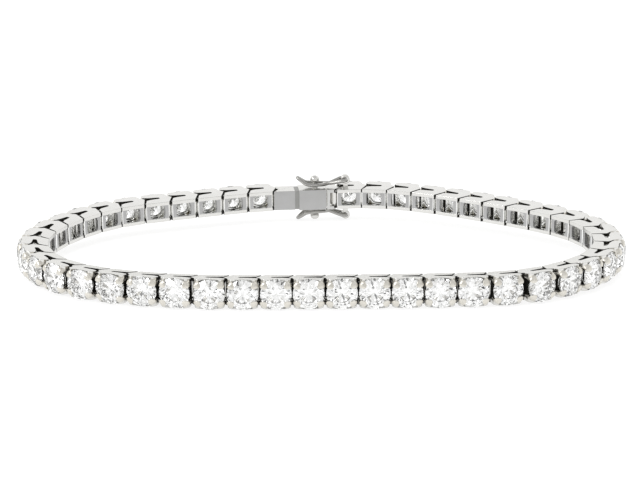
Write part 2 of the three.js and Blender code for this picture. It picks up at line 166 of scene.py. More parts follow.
# The catches and their lugs
LUG_PROFILE = [  # radius, and place along the tube
    (0.33, -0.41), (0.36, -0.45), (0.53, -0.45), (0.58, -0.4),
    (0.58, 0.4), (0.53, 0.45), (0.36, 0.45), (0.33, 0.41),
]
LUG_STAND_HALF = (0.32, 0.43)
LUG_STAND_SINK = 0.2
LUG_STAND_TOP = 0.35
LUG_STAND_BEVEL = 0.05
WIRE_RADIUS = 0.24
WIRE_SIDES = 12
WIRE_STEPS = 5
WIRE_LINE = [  # x, y, z of the figure eight, from the hinge round the tip and back
    (0, 0, 0),
    (0, 0.62, 0),
    (0.1, 0.95, 0),
    (0.5, 1.0, -0.06),
    (1.2, 0.66, -0.26),
    (2.0, 0.28, -0.44),
    (2.85, -0.1, -0.47),
    (3.6, -0.62, -0.54),
    (4.5, -0.9, -0.56),
    (5.3, -0.74, -0.42),
    (5.95, -0.42, 0.02),
    (6.38, 0, 0.33),
    (5.95, 0.42, 0.02),
    (5.3, 0.74, -0.42),
    (4.5, 0.9, -0.56),
    (3.6, 0.62, -0.58),
    (2.85, 0.1, -0.66),
    (2.0, -0.28, -0.5),
    (1.2, -0.66, -0.26),
    (0.5, -1.0, -0.06),
    (0.1, -0.95, 0),
    (0, -0.62, 0),
]

# The clasp, with x from the last link's pin
TONGUE_CHEEK_END = 1.1
TONGUE_BODY_END = 1.08
TONGUE_BODY_SINK = 0.012
TONGUE_SIDE_GAP = 0.1
PIN_END_GAP = 0.2
LEAF_HALF_WIDTH = 0.62
LEAF_LOW_X = (0.8, 5.6)
LEAF_LOW_Y = (-0.64, -0.34)
LEAF_HIGH_HALF = (2.1, 0.15)
LEAF_HIGH_TURN = -0.19
LEAF_HIGH_MIDDLE = (3.5, 0.1)
BOX_X = (1.2, 4.82)
BOX_BEVEL = 0.07
BAND_X = (4.7, 5.45)
BAND_SINK = (0.16, 0.14)
BOX_END_START = 5.35
BOX_END_SINK = 0.08
BOX_END_TOP_SINK = 0.1
BOX_NECK_START = 7.2
BOX_NECK_Y = (-1.1, -0.6)
WRIST_DEPTH = 0.1
STUD_X = 2.6
STUD_RISE = 1.15
STUD_POST_RADIUS = 0.25
STUD_COLLAR_RADIUS = 0.42
STUD_COLLAR_RISE = (-0.1, 0.12)
STUD_COLLAR_SIDES = 20
STUD_KNOB_RADIUS = 0.5
STUD_KNOB_FLATTENING = 1.2

# How far a face turns towards an axis, as its normal's share, to take another material: a copy of the gold
# that paints shade or light
JOINT_TURN = 0.4
END_TURN = 0.25
HALF_TURN = 0.5
FULL_TURN = 0.9

# The metals: material name, colour, colour in the clouds, least and most roughness, depth of the marks. Some
# rows are real finishes; others are darker or lighter copies of the gold that paint shade or light
FINISHES_AND_PAINTED_LIGHT = {
    "polished": ("white_gold", (0.749, 0.743, 0.725), (0.655, 0.649, 0.626), (0.12, 0.26), 0.25),
    # a rougher satin finish, with a darker colour that paints shade on the wrist side of the window frame
    # and clasp box
    "satin_painted_shade": ("white_gold_satin_painted_shade", (0.475, 0.475, 0.475), (0.40, 0.398, 0.395), (0.28, 0.42), 0.5),
    # a rougher finish, with a darker colour that paints shade on the clasp tongue's wrist side
    "pale": ("white_gold_pale_painted_shade", (0.63, 0.63, 0.62), (0.55, 0.548, 0.54), (0.28, 0.42), 0.5),
    "claw": ("white_gold_claw", (0.796, 0.772, 0.714), (0.632, 0.608, 0.550), (0.26, 0.42), 0.5),
    # a near-white copy of the gold that paints light on faces that lie in shade under the stone and at the
    # window frame's ends
    "painted_light": ("white_gold_painted_light", (0.97, 0.97, 0.96), (0.93, 0.93, 0.92), (0.05, 0.12), 0.1),
    # a dark copy of the gold that paints shade in the sunk band between the clasp box and its end piece
    "band": ("white_gold_band_painted_shade", (0.35, 0.35, 0.34), (0.27, 0.27, 0.26), (0.3, 0.45), 0.5),
    # a near-black copy of the gold that paints shade on the walls of the saw cuts and joints and on the
    # walls deep between the stones
    "crevice_painted_shade": ("white_gold_crevice_painted_shade", (0.05, 0.048, 0.04), (0.02, 0.019, 0.016), (0.5, 0.8), 0.4),
    "wire": ("catch_gold", (0.44, 0.435, 0.42), (0.36, 0.356, 0.34), (0.16, 0.3), 0.25),
}
MARK_SCALE = (900.0, 5200.0, 2600.0)
MARK_DEPTH = 0.00002
STONE_INDEX = 2.42

# The stage, in metres
FLOOR_HALF = 1.5
FLOOR_GLOW = 0.8
CAMERA_PLACE = (0.001066, -0.212727, 0.052944)
CAMERA_LENS = 100.7
CAMERA_TURN = (13.4031, -0.3311, -0.2406)  # pitch, yaw and roll in degrees
WORLD_STRENGTH = 1.07
WORLD_RAMP = [  # z of the direction, and the tent's colour there, from the horizon up
    (0.0, (0.85, 0.85, 0.83)),
    (0.5, (1.0, 1.0, 1.0)),
    (0.72, (0.95, 0.95, 0.95)),
    (0.9, (0.66, 0.66, 0.66)),
]
WORLD_PATCHES = [  # direction, where the patch starts and is full as a dot product, and its shade
    ((0.0, -1.0, 0.2), (0.75, 0.95), 0.85),
    ((0.0, 1.0, 0.3), (0.45, 0.9), 1.05),
]
CARD_SCALE = 7.0
CARD_EDGE = (0.565, 0.585)
CARD_MASKS = [  # direction, dot product from and to, share from and to
    ((0, -1, 0), (-0.1, 0.2), (0.0, 0.95)),
    ((0, 0, 1), (0.7, 0.85), (1.0, 0.0)),
    ((0, 0, 1), (0.15, 0.2), (0.0, 1.0)),
]
LIGHTS = [  # name, place, width, height, watts, whether it shows in reflections
    ("overhead", (0.0, 0.05, 0.6), 0.8, 0.6, 2.0, False),
    ("left", (-0.45, -0.25, 0.35), 0.25, 0.25, 1.0, True),
]

inner_face = -STRIP_THICKNESS / 2
width_taper = (STRIP_WIDTH - INNER_WIDTH) / 2 / STRIP_THICKNESS
pin_x = -LINK_PITCH / 2 + HINGE_SHIFT
eye_x = pin_x + LINK_PITCH
window_middle = (INNER_LEG_START + INNER_LEG_END) / 2


def half_width_at(y):
    """Half the strip's width, which grows from the wrist side to the stones."""
    return INNER_WIDTH / 2 + (y - inner_face) * width_taper


def seat_height(radius):
    """How high metal may stand at a distance from the stone's axis."""
    if radius > STONE_RADIUS:
        return TABLE_HEIGHT
    return GIRDLE_LOW - PAVILION_DEPTH * (1 - radius / STONE_RADIUS) - SEAT_CLEARANCE


# The route of the pins, found as in the solids


def route_point(t, scale):
    cell = math.floor(t)
    u = t - cell
    weights = ((1 - u) ** 3, 3 * u**3 - 6 * u**2 + 4, -3 * u**3 + 3 * u**2 + 3 * u + 1, u**3)
    point = Vector((0.0, 0.0))
    for k, weight in enumerate(weights):
        point += Vector(ROUTE[(cell + k - 1) % len(ROUTE)]) * (weight / 6 * scale)
    return point


def step_along(start, origin, distance, direction, scale):
    near = far = start
    while (route_point(far, scale) - origin).length < distance:
        near = far
        far += direction / ROUTE_STEPS
    for _ in range(ROUTE_STEPS):
        middle = (near + far) / 2
        if (route_point(middle, scale) - origin).length < distance:
            near = middle
        else:
            far = middle
    return (near + far) / 2


def nearest_on_route(target):
    places = [i / ROUTE_STEPS for i in range(len(ROUTE) * ROUTE_STEPS)]
    return min(places, key=lambda t: (route_point(t, 1) - target).length)


def route_length():
    points = [route_point(i / ROUTE_STEPS, 1) for i in range(len(ROUTE) * ROUTE_STEPS + 1)]
    return sum((b - a).length for a, b in zip(points, points[1:]))


def pins_at(middle, scale):
    straight = CLASP_LENGTH + LINK_PITCH
    first = step_along(middle, route_point(middle, scale), straight / 2, 1, scale)
    last = step_along(first, route_point(first, scale), straight, -1, scale)
    places = [first]
    while len(places) < LINK_COUNT:
        places.append(step_along(places[-1], route_point(places[-1], scale), LINK_PITCH, 1, scale))
    return [route_point(t, scale) for t in places], last + len(ROUTE) - places[-1]


def fitted_pins():
    middle = nearest_on_route(Vector(CLASP_MIDDLE))
    guess = (LINK_COUNT * LINK_PITCH + CLASP_LENGTH) / route_length()
    small, large = (share * guess for share in FIT_RANGE)
    for _ in range(FIT_STEPS):
        scale = (small + large) / 2
        if pins_at(middle, scale)[1] > 0:
            large = scale
        else:
            small = scale
    return pins_at(middle, (small + large) / 2)[0]


def frame_along(start, end, offset):
    """A piece's frame: x from one pin to the next, y away from the wrist, z down."""
    along = (end - start).normalized()
    outward = Vector((along.y, -along.x))
    place = start - along * offset + outward * HINGE_DEPTH
    local = Matrix((
        (along.x, outward.x, 0, place.x * MM),
        (along.y, outward.y, 0, place.y * MM),
        (0, 0, -1, 0),
        (0, 0, 0, 1),
    ))
    rest = Matrix.Translation(Vector(REST_SHIFT) * MM) @ Matrix.Rotation(REST_TILT, 4, "X")
    return rest @ local


def strip_frames():
    pins = fitted_pins()
    along = (pins[0] - pins[-1]).normalized()
    clasp_pin = pins[-1] + along * LINK_PITCH
    ends = pins[1:] + [clasp_pin]
    return [frame_along(a, b, pin_x) for a, b in zip(pins, ends)], frame_along(clasp_pin, pins[0], 0)


# Shapes, each as a list of points and a list of faces


def merged(*shapes):
    points, faces = [], []
    for more_points, more_faces in shapes:
        base = len(points)
        points += more_points
        faces += [[base + i for i in face] for face in more_faces]
    return points, faces


def moved(shape, matrix):
    points, faces = shape
    flip = matrix.determinant() < 0
    return [matrix @ Vector(p) for p in points], [list(reversed(f)) if flip else f for f in faces]


def mirrored(shape, x=1, y=1, z=1):
    return moved(shape, Matrix.Diagonal((x, y, z)))


def shifted(shape, x=0.0, y=0.0, z=0.0):
    points, faces = shape
    offset = Vector((x, y, z))
    return [Vector(p) + offset for p in points], faces


def rounded(corners, steps=5):
    """An outline whose corners (x, y, radius) are rounded off."""
    outline = []
    for i, (x, y, radius) in enumerate(corners):
        here = Vector((x, y))
        if radius == 0:
            outline.append(here)
            continue
        before = Vector(corners[i - 1][:2]) - here
        after = Vector(corners[(i + 1) % len(corners)][:2]) - here
        half = before.angle(after) / 2
        reach = min(radius / math.tan(half), 0.48 * before.length, 0.48 * after.length)
        start = here + before.normalized() * reach
        end = here + after.normalized() * reach
        for k in range(steps + 1):
            t = k / steps
            outline.append(start * (1 - t) ** 2 + here * (2 * t * (1 - t)) + end * t**2)
    return outline


def inset(outline, depth, share=None):
    """The outline, counter-clockwise, moved inwards; share lessens the depth at some points."""
    result = []
    for i, here in enumerate(outline):
        into = (here - outline[i - 1]).normalized()
        out = (outline[(i + 1) % len(outline)] - here).normalized()
        first, second = Vector((-into.y, into.x)), Vector((-out.y, out.x))
        here_depth = depth * (share(here) if share else 1.0)
        result.append(here + (first + second) * (here_depth / max(1 + first.dot(second), 0.3)))
    return result


def rings_joined(rings, closed=False):
    """Quads between rings of equal size; a closed set of rings joins its last ring to its first."""
    size = len(rings[0])
    points = [p for ring in rings for p in ring]
    faces = []
    for k in range(len(rings) if closed else len(rings) - 1):
        low, high = k * size, (k + 1) % len(rings) * size
        for i in range(size):
            j = (i + 1) % size
            faces.append([low + i, low + j, high + j, high + i])
    return points, faces


def prism(outline, low, high, bevel, lean=None, share=None):
    """A plate with a counter-clockwise outline in x and y, from z low to high, with rounded edges."""
    quarter = 1 - math.sin(math.pi / 4)
    profile = [(1.0, 0.0), (quarter, quarter), (0.0, 1.0)]
    levels = [(bevel * a, low + bevel * b) for a, b in profile]
    levels += [(bevel * a, high - bevel * b) for a, b in reversed(profile)]
    rings = []
    for depth, z in levels:
        ring = inset(outline, depth, share) if depth > 0 else outline
        rings.append([Vector((p.x, p.y, z + (lean(p.y) if lean else 0.0))) for p in ring])
    points, faces = rings_joined(rings)
    count = len(outline)
    faces.append(list(reversed(range(count))))
    faces.append(list(range(len(points) - count, len(points))))
    return points, faces


def box_shape(x_range, y_range, z_range, bevel):
    """A block with rounded edges along z and at its ends."""
    corners = [(x, y, bevel) for x, y in (
        (x_range[0], y_range[0]),
        (x_range[1], y_range[0]),
        (x_range[1], y_range[1]),
        (x_range[0], y_range[1]),
    )]
    return prism(rounded(corners, 2), z_range[0], z_range[1], bevel)


def smooth_path(corners, steps, closed=False):
    """A smooth curve through the corners."""
    count = len(corners)
    spans = count if closed else count - 1
    path = []
    for i in range(spans):
        if closed:
            p = [Vector(corners[(i + k) % count]) for k in (-1, 0, 1, 2)]
        else:
            p = [Vector(corners[min(max(i + k, 0), count - 1)]) for k in (-1, 0, 1, 2)]
        for k in range(steps):
            t = k / steps
            path.append(0.5 * (2 * p[1] + (p[2] - p[0]) * t
                               + (2 * p[0] - 5 * p[1] + 4 * p[2] - p[3]) * t**2
                               + (3 * p[1] - p[0] - 3 * p[2] + p[3]) * t**3))
    if not closed:
        path.append(Vector(corners[-1]))
    return path


def swept(path, radii, sides, closed=False, side_hint=None):
    """A tube along a path. radii gives (across, high) for each point; the ends are closed."""
    count = len(path)
    rings = []
    side = side_hint or Vector((0, 0, 1))
    for i, here in enumerate(path):
        before = path[i - 1] if closed or i else here
        after = path[(i + 1) % count] if closed or i < count - 1 else here
        forward = (after - before).normalized()
        guide = side_hint or side
        side = (guide - forward * guide.dot(forward)).normalized()
        up = forward.cross(side)
        across, high = radii[i]
        rings.append([
            here + side * (across * math.cos(a)) + up * (high * math.sin(a))
            for a in (2 * math.pi * k / sides for k in range(sides))
        ])
    points, faces = rings_joined(rings, closed)
    if not closed:
        faces.append(list(reversed(range(sides))))
        faces.append(list(range(len(points) - sides, len(points))))
    return points, faces


def wire(path, radius, sides=12, closed=False, side_hint=None):
    return swept(path, [(radius, radius)] * len(path), sides, closed, side_hint)


def bar(x, y, z_range, radius, sides):
    """A straight round bar across the strip."""
    path = [Vector((x, y, z)) for z in z_range]
    return wire(path, radius, sides, side_hint=Vector((1, 0, 0)))


def lathed(profile, segments, squareness=None):
    """A ring turned about the y axis from a closed profile of (radius, y), counter-clockwise."""
    rings = []
    for radius, y in profile:
        ring = []
        for k in range(segments):
            angle = 2 * math.pi * k / segments
            share = squareness(angle) if squareness else 1.0
            ring.append(Vector((radius * share * math.cos(angle), y, radius * share * math.sin(angle))))
        rings.append(ring)
    return rings_joined(rings, closed=True)


def ball(centre, radius, segments=24, rings=14):
    rows = []
    for k in range(1, rings):
        angle = math.pi * k / rings
        rows.append([
            Vector(centre) + Vector((
                radius * math.sin(angle) * math.cos(2 * math.pi * i / segments),
                radius * math.sin(angle) * math.sin(2 * math.pi * i / segments),
                -radius * math.cos(angle),
            ))
            for i in range(segments)
        ])
    points, faces = rings_joined(rows)
    low, high = len(points), len(points) + 1
    points += [Vector(centre) - Vector((0, 0, radius)), Vector(centre) + Vector((0, 0, radius))]
    top = (rings - 2) * segments
    for i in range(segments):
        j = (i + 1) % segments
        faces.append([low, j, i])
        faces.append([high, top + i, top + j])
    return points, faces


# Parts of a link


def plate_outline():
    """One side plate: a rounded nose, a notch with a diamond hole, and a saw cut from the hole."""
    mouth, end = SLOT_HALF[1], SLOT_HALF[0]
    leg = INNER_LEG_END - NOTCH_X
    hole_end = NOTCH_X + leg * HOLE_HALF / (STRIP_THICKNESS / 2)
    hole_mouth = HOLE_HALF * 0.9
    rim = [(RIM_REACH * k / RIM_STEPS, PLATE_RIM, 0) for k in range(RIM_STEPS, -RIM_STEPS - 1, -1)]
    return rounded([
        *[(-x, y, radius) for x, y, radius in ARCH],
        (-LINK_END, SHOULDER_HEIGHT, SHOULDER_FILLET),
        (NOSE_TIP, 0, 0.2),
        (INNER_LEG_START, inner_face, 0.1),
        (INNER_LEG_END, inner_face, CORNER_FILLET),
        (hole_end, -HOLE_HALF, CORNER_FILLET),
        (HOLE_START, -hole_mouth, 0.08),
        (SLOT_MOUTH, -mouth, 0.05),
        (SLOT_END, -end, end),
        (SLOT_END, end, end),
        (SLOT_MOUTH, mouth, 0.05),
        (HOLE_START, hole_mouth, 0.08),
        (hole_end, HOLE_HALF, CORNER_FILLET),
        (LINK_END, SHOULDER_HEIGHT + 0.06, SHOULDER_FILLET),
        *reversed(ARCH),
        *rim,
    ])


def in_saw_cut(x, y):
    """Whether a place on a side plate lies in the saw cut or its hole."""
    return SLOT_END - CUT_MARGIN < x < NOTCH_X + CUT_REACH and abs(y) < HOLE_HALF + CUT_MARGIN


def in_joint(y, normal):
    """Whether a plate's wall faces the neighbouring link in the chevron joint."""
    return abs(normal.x) > JOINT_TURN and inner_face + JOINT_INSET < y < SHOULDER_HEIGHT


def side_plates():
    """Both plates, with plain edges in the saw cut and room for the stone."""
    def bevel(point):
        return 0.0 if in_saw_cut(point.x, point.y) else 1.0

    points, faces = prism(plate_outline(), -PLATE_THICKNESS, 0.0, EDGE_BEVEL, half_width_at, bevel)
    plate = [Vector((p.x, min(p.y, seat_height(math.hypot(p.x, p.z))), p.z)) for p in points], faces
    return merged(plate, mirrored(plate, z=-1))


def window_frame():
    """The flat frame on the wrist side, with a rounded window."""
    half_x, half_z = WINDOW_LENGTH / 2, WINDOW_HALF_WIDTH
    outer_low, outer_high = INNER_LEG_START + FRAME_END_GAP, INNER_LEG_END - FRAME_END_GAP
    outer_z = INNER_WIDTH / 2 - FRAME_SIDE_GAP
    inner, outer = [], []
    for sx, sz, turn in ((1, 1, 0), (-1, 1, 1), (-1, -1, 2), (1, -1, 3)):
        centre = Vector((window_middle + sx * (half_x - WINDOW_FILLET), sz * (half_z - WINDOW_FILLET)))
        outer_x = outer_high if sx > 0 else outer_low
        for k in range(WINDOW_CORNER_STEPS + 1):
            angle = (turn + k / WINDOW_CORNER_STEPS) * math.pi / 2
            point = centre + Vector((math.cos(angle), math.sin(angle))) * WINDOW_FILLET
            inner.append(point)
            along_x = (k <= WINDOW_CORNER_STEPS // 2) == (turn % 2 == 0)
            if 2 * k == WINDOW_CORNER_STEPS:
                outer.append(Vector((outer_x, sz * outer_z)))
            elif along_x:
                outer.append(Vector((outer_x, point.y)))
            else:
                outer.append(Vector((point.x, sz * outer_z)))
    centre = Vector((window_middle, 0))

    def ring(loop, towards, y):
        """The loop at a height, drawn towards the window's middle by a share."""
        drawn = [p + (centre - p) * towards for p in loop]
        return [Vector((p.x, y, p.y)) for p in drawn]

    top, bottom = inner_face + FRAME_THICKNESS, inner_face + FRAME_SINK
    rings = [
        ring(outer, 0.0, top),
        ring(outer, 0.0, bottom + 2.5 * EDGE_BEVEL),
        ring(outer, 0.02, bottom + EDGE_BEVEL),
        ring(outer, 0.06, bottom),
        ring(inner, -0.05, bottom),
        ring(inner, -0.015, bottom + 0.3 * EDGE_BEVEL),
        ring(inner, 0.0, bottom + EDGE_BEVEL),
        ring(inner, 0.0, top),
    ]
    return rings_joined(rings, closed=True)


def at_frame_end(x):
    """Whether a place on the window frame lies beyond the window, next to a neighbouring link."""
    return abs(x - window_middle) > WINDOW_LENGTH / 2 + FRAME_END_REACH


def cross_pin(x, reach):
    """A hinge pin across the strip, at a place along it."""
    return bar(x, -HINGE_DEPTH, (-reach, reach), PIN_DIAMETER / 2, PIN_SIDES)


def eye_half_width():
    return half_width_at(-HINGE_DEPTH - EYE_DIAMETER / 2) - PLATE_THICKNESS - EYE_GAP


def hinge_eye(x):
    """The tube round a hinge pin."""
    outer, inner, half = EYE_DIAMETER / 2, PIN_DIAMETER / 2 + EYE_GAP, eye_half_width()
    profile = [(inner, -half), (outer, -half), (outer, half), (inner, half)]
    tube = moved(lathed(profile, EYE_SEGMENTS), Matrix.Rotation(math.pi / 2, 3, "X"))
    return shifted(tube, x, -HINGE_DEPTH, 0)


def neck(start, eye_place, y_range):
    """The block between a piece and its hinge eye."""
    half = eye_half_width()
    end = eye_place - (PIN_DIAMETER / 2 + EYE_GAP) - NECK_GAP
    return box_shape((start, end), y_range, (-half, half), SMALL_BEVEL)


def hinge_parts():
    """The pin between the plates at one end, and the eye with its neck at the other."""
    pin = cross_pin(pin_x, half_width_at(-HINGE_DEPTH) - PLATE_THICKNESS / 2)
    neck_y = (inner_face + NECK_INSET, -HINGE_DEPTH - NECK_INSET)
    return merged(pin, hinge_eye(eye_x), neck(NECK_START, eye_x, neck_y))


def gallery(near, far):
    """The plain walls across the link's ends, deep in the gaps between the stones."""
    half = INNER_WIDTH / 2 - GALLERY_SIDE_GAP
    wall = box_shape((near, far), GALLERY_RISE, (-half, half), SMALL_BEVEL)
    return merged(wall, mirrored(wall, x=-1))


def collet():
    """The cup under the stone, round inside and squared towards the neighbouring links."""
    seat = [(radius, seat_height(radius)) for radius in SEAT_RADII]

    def squared(angle):
        side = max(abs(math.cos(angle)), abs(math.sin(angle)))
        return min(1.0 + COLLET_SQUARENESS * (1 - abs(math.cos(2 * angle))), 1.0 / side)

    return lathed([*COLLET_OUTSIDE, *seat], COLLET_SEGMENTS, squared)


def prong(sx, sz, rng):
    """A claw that rises from the corner and folds over the stone's edge."""
    slant = 1.0 + PRONG_SPREAD * rng.uniform(-1, 1)
    corners = [Vector((sx * x * slant, y, sz * z * slant)) for x, y, z, _, _ in PRONG_LINE]
    path = smooth_path(corners, PRONG_STEPS)
    sizes = smooth_path([Vector((across, high, 0)) for _, _, _, across, high in PRONG_LINE], PRONG_STEPS)
    radii = [(max(size.x, PRONG_LEAST), max(size.y, PRONG_LEAST)) for size in sizes]
    return swept(path, radii, PRONG_SIDES, side_hint=Vector((sx, 0, -sz)).normalized())


def setting_parts(rng, gold, *more):
    """A link's metal, each part with its material; the collet and inner gallery take painted light, the
    window frame painted shade, the outer gallery near-black painted shade.
    """
    prongs = [prong(sx, sz, rng) for sx in (1, -1) for sz in (1, -1)]
    return [
        (merged(side_plates(), hinge_parts(), *more), gold["polished"]),
        # painted light: the collet and the inner gallery under the stone are a near-white copy of the gold
        (merged(collet(), gallery(GALLERY_INSIDE, GALLERY_MIDDLE)), gold["painted_light"]),
        # painted shade: the window frame on the wrist side is a darker, rougher copy of the gold
        (window_frame(), gold["satin_painted_shade"]),
        # painted shade: the walls deep in the gaps between the stones are a near-black copy of the gold
        (gallery(GALLERY_MIDDLE, GALLERY_OUTSIDE), gold["crevice_painted_shade"]),
        (merged(*prongs), gold["claw"]),
    ]


def catch_lug(side):
    """The small tube on a side plate in which a catch's wire turns."""
    x = eye_x - CATCH_HINGE_BACK
    face = half_width_at(0)
    height = face + CATCH_HEIGHT
    tube = shifted(lathed(LUG_PROFILE, EYE_SEGMENTS), x, 0, side * height)
    z_range = sorted((side * (face - LUG_STAND_SINK), side * (height - LUG_STAND_TOP)))
    half_x, half_y = LUG_STAND_HALF
    stand = box_shape((x - half_x, x + half_x), (-half_y, half_y), z_range, LUG_STAND_BEVEL)
    return merged(tube, stand)


# The stone


def brilliant(turn_about):
    """A full-cut round brilliant: table, stars, kites, halves, girdle, lower halves and mains."""
    table_radius = STONE_RADIUS * TABLE_SHARE
    slope = (TABLE_HEIGHT - GIRDLE_HIGH) / (STONE_RADIUS - table_radius)
    half_turn = math.pi / FACETS
    table_mid = table_radius * math.cos(half_turn)
    star_radius = table_mid + STAR_SHARE * (STONE_RADIUS - table_mid)
    star_height = TABLE_HEIGHT - slope * (star_radius * math.cos(half_turn) - table_radius)
    culet = GIRDLE_LOW - PAVILION_DEPTH
    low_radius = (1 - LOWER_HALF_SHARE) * STONE_RADIUS
    low_height = culet + PAVILION_DEPTH * low_radius * math.cos(half_turn) / STONE_RADIUS

    def at(radius, height, angle):
        turned = angle + turn_about
        return Vector((radius * math.cos(turned), height, radius * math.sin(turned)))

    points, faces = [], []

    def add(*corners):
        base = len(points)
        points.extend(corners)
        faces.append(list(range(base, base + len(corners))))

    def girdle_mid(tip, first, second, angle):
        """The point on the girdle's cylinder, between two others, in the plane of a half facet."""
        normal = (first - tip).cross(second - tip)
        flat = at(STONE_RADIUS, 0, angle)
        height = tip.y - (normal.x * (flat.x - tip.x) + normal.z * (flat.z - tip.z)) / normal.y
        return at(STONE_RADIUS, height, angle)

    table = [at(table_radius, TABLE_HEIGHT, 2 * half_turn * i) for i in range(FACETS)]
    add(*reversed(table))
    for i in range(FACETS):
        angle = 2 * half_turn * i
        mid, after = angle + half_turn, angle + 2 * half_turn
        star = at(star_radius, star_height, mid)
        star_before = at(star_radius, star_height, angle - half_turn)
        high, high_mid, high_after = (at(STONE_RADIUS, GIRDLE_HIGH, a) for a in (angle, mid, after))
        low, low_mid, low_after = (at(STONE_RADIUS, GIRDLE_LOW, a) for a in (angle, mid, after))
        tip = at(0, culet, 0)
        ridge = at(low_radius, low_height, mid)
        ridge_before = at(low_radius, low_height, angle - half_turn)
        add(table[i], table[(i + 1) % FACETS], star)
        add(table[i], star, high, star_before)
        add(tip, ridge_before, low, ridge)
        halves = [
            (high, high_mid, low, low_mid, angle),
            (high_mid, high_after, low_mid, low_after, mid),
        ]
        for a, b, c, d, turn in halves:
            upper = girdle_mid(star, a, b, turn + half_turn / 2)
            lower = girdle_mid(ridge, c, d, turn + half_turn / 2)
            add(star, b, upper, a)
            add(ridge, c, lower, d)
            add(a, upper, lower, c)
            add(upper, b, d, lower)
    return points, faces


# The clasp. Local x runs from the pin that holds the last link to the pin of the first one.


def tongue_shape():
    """The end piece round the last link's hinge, and the folded spring tongue."""
    half = CLASP_WIDTH / 2
    start = EYE_DIAMETER / 2 + EYE_GAP
    free = half_width_at(-HINGE_DEPTH - EYE_DIAMETER / 2) - PLATE_THICKNESS
    outline = rounded([
        (NOSE_TIP - pin_x, 0, 0.1),
        (INNER_LEG_START - pin_x, inner_face, 0.08),
        (TONGUE_CHEEK_END, inner_face, 0.05),
        (TONGUE_CHEEK_END, -inner_face, 0.05),
        (-LINK_END - pin_x, -inner_face, 0.25),
        (-LINK_END - pin_x, SHOULDER_HEIGHT, 0.3),
    ])
    cheek = prism(outline, free, half, EDGE_BEVEL)
    body_y = (inner_face + TONGUE_BODY_SINK, -inner_face - TONGUE_BODY_SINK)
    body_z = (-half + TONGUE_SIDE_GAP, half - TONGUE_SIDE_GAP)
    body = box_shape((start, TONGUE_BODY_END), body_y, body_z, SMALL_BEVEL)
    pin = cross_pin(0, half - PIN_END_GAP)
    leaf_z = (-LEAF_HALF_WIDTH, LEAF_HALF_WIDTH)
    leaf_low = box_shape(LEAF_LOW_X, LEAF_LOW_Y, leaf_z, SMALL_BEVEL)
    long, thick = LEAF_HIGH_HALF
    leaf_high = box_shape((-long, long), (-thick, thick), leaf_z, SMALL_BEVEL)
    leaf_high = shifted(moved(leaf_high, Matrix.Rotation(LEAF_HIGH_TURN, 3, "Z")), *LEAF_HIGH_MIDDLE, 0)
    return merged(cheek, mirrored(cheek, z=-1), body, pin, leaf_low, leaf_high)


def stud(side):
    """The ball that a safety catch snaps over, on its post and collar."""
    half = CLASP_WIDTH / 2
    knob_z = side * (half + STUD_RISE)
    post = bar(STUD_X, 0, (side * (half - PIN_END_GAP), knob_z), STUD_POST_RADIUS, PIN_SIDES)
    collar_z = [side * (half + rise) for rise in STUD_COLLAR_RISE]
    collar = bar(STUD_X, 0, collar_z, STUD_COLLAR_RADIUS, STUD_COLLAR_SIDES)
    flattened = Matrix.Diagonal((STUD_KNOB_FLATTENING, STUD_KNOB_FLATTENING, 1))
    knob = moved(ball((0, 0, 0), STUD_KNOB_RADIUS), flattened)
    return merged(post, collar, shifted(knob, STUD_X, 0, knob_z))


def clasp_box_shape():
    """The box with its end piece, eye and studs, and the band sunk between box and end piece."""
    half = CLASP_WIDTH / 2
    main = box_shape(BOX_X, (inner_face, -inner_face), (-half, half), BOX_BEVEL)
    sink_y, sink_z = BAND_SINK
    band_y = (inner_face + sink_y, -inner_face - sink_y)
    band = box_shape(BAND_X, band_y, (-half + sink_z, half - sink_z), SMALL_BEVEL)
    shift = CLASP_LENGTH - eye_x
    low, high = inner_face + BOX_END_SINK, -inner_face - BOX_END_TOP_SINK
    end = prism(rounded([
        (BOX_END_START, low, CORNER_FILLET),
        (INNER_LEG_END + shift, low, CORNER_FILLET),
        (NOTCH_X + shift, 0, 0.1),
        (LINK_END + shift, SHOULDER_HEIGHT, 0.35),
        (LINK_END + shift, high, 0.25),
        (BOX_END_START, high, CORNER_FILLET),
    ]), -half + BOX_END_SINK, half - BOX_END_SINK, BOX_BEVEL)
    end_neck = neck(BOX_NECK_START, CLASP_LENGTH, BOX_NECK_Y)
    return merged(main, end, hinge_eye(CLASP_LENGTH), end_neck, stud(1), stud(-1)), band


def catch_shape():
    """A figure eight of round wire. Its hinge is at the origin and z points away from the box."""
    path = smooth_path([Vector(p) for p in WIRE_LINE], WIRE_STEPS, closed=True)
    return wire(path, WIRE_RADIUS, WIRE_SIDES, closed=True, side_hint=Vector((0, 0.02, 1)))


# Materials


def node_material(name):
    """A new material, its node tree and its shader."""
    material = bpy.data.materials.new(name)
    material.use_nodes = True
    tree = material.node_tree
    return material, tree, tree.nodes["Principled BSDF"]


def add_node(tree, kind, **inputs):
    node = tree.nodes.new(kind)
    for key, value in inputs.items():
        node.inputs[key].default_value = value
    return node


def tint_in_clouds(tree, shader, first, second, scale, detail, roughness):
    """Clouds of two colours in the shader's base colour; returns the object's own coordinates."""
    link = tree.links.new
    where = tree.nodes.new("ShaderNodeTexCoord").outputs["Object"]
    clouds = add_node(tree, "ShaderNodeTexNoise", Scale=scale, Detail=detail, Roughness=roughness)
    link(where, clouds.inputs["Vector"])
    tint = tree.nodes.new("ShaderNodeMix")
    tint.data_type = "RGBA"
    tint.inputs["A"].default_value = (*first, 1)
    tint.inputs["B"].default_value = (*second, 1)
    link(clouds.outputs["Fac"], tint.inputs["Factor"])
    link(tint.outputs["Result"], shader.inputs["Base Color"])
    return where


